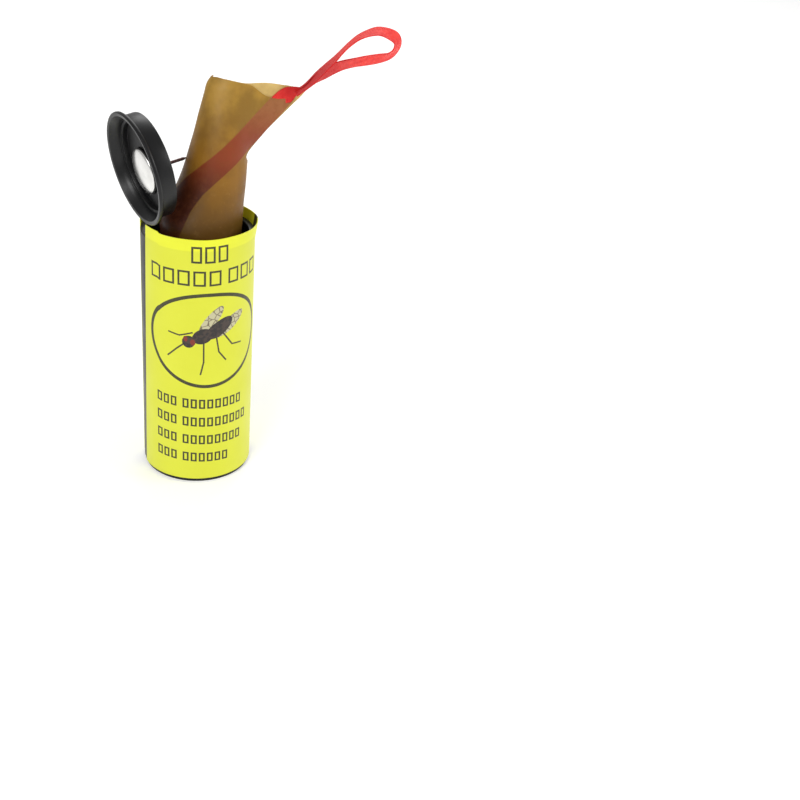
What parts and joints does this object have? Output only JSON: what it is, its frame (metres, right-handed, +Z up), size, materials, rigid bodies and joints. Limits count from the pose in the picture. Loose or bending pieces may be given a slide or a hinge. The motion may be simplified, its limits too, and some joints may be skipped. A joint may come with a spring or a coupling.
{
  "type": "sticky insect-paper tube",
  "caption": "Small round canister with a wound sticky paper drawn part-way out, its hanging ribbon loop, and the pulled-off cap pinned beside the mouth.",
  "frame": {"origin": "centre of the base plug's flat underside, on the tube's axis", "axes": "+Z up along the tube's axis, -Y towards the label's printed front, +X to the right of it, where the ribbon loop hangs out"},
  "size_m": [0.0535, 0.0256, 0.0896],
  "materials": {
    "black_plastic": "satin black rolled plastic sheet",
    "cap_plastic": "semi-gloss black moulding",
    "label_paper": null,
    "waxed_paper": "translucent brown waxed paper",
    "adhesive": "wet amber glue film",
    "ribbon": "woven red ribbon",
    "pin_metal": "polished plated steel"
  },
  "bodies": {
    "canister": {"canister_tube": "black_plastic", "label_wrap": "label_paper"},
    "base_plug": {"base_plug": "cap_plastic"},
    "paper_roll": {"paper_last_turn": "waxed_paper", "paper_end_flap": "waxed_paper", "paper_winding": "waxed_paper", "adhesive_layer": "adhesive", "ribbon_glued_band": "ribbon", "ribbon_loop": "ribbon"},
    "cap": {"top_cap": "cap_plastic"},
    "pin": {"drawing_pin": "pin_metal"}
  },
  "joints": [
    {"name": "plug_pull", "type": "slide", "parent": "canister", "child": "base_plug", "axis": [0, 0, -1], "range_m": [0, 0.015]},
    {"name": "paper_draw", "type": "slide", "parent": "canister", "child": "paper_roll", "axis": [0.1857, 0.1026, 0.9772], "range_m": [0, 0.03]},
    {"name": "cap_pull", "type": "slide", "parent": "paper_roll", "child": "cap", "axis": [-0.8775, -0.4471, -0.1736], "range_m": [0, 0.025]},
    {"name": "pin_pull", "type": "slide", "parent": "cap", "child": "pin", "axis": [-0.8775, -0.4471, -0.1736], "range_m": [0, 0.012]}
  ]
}
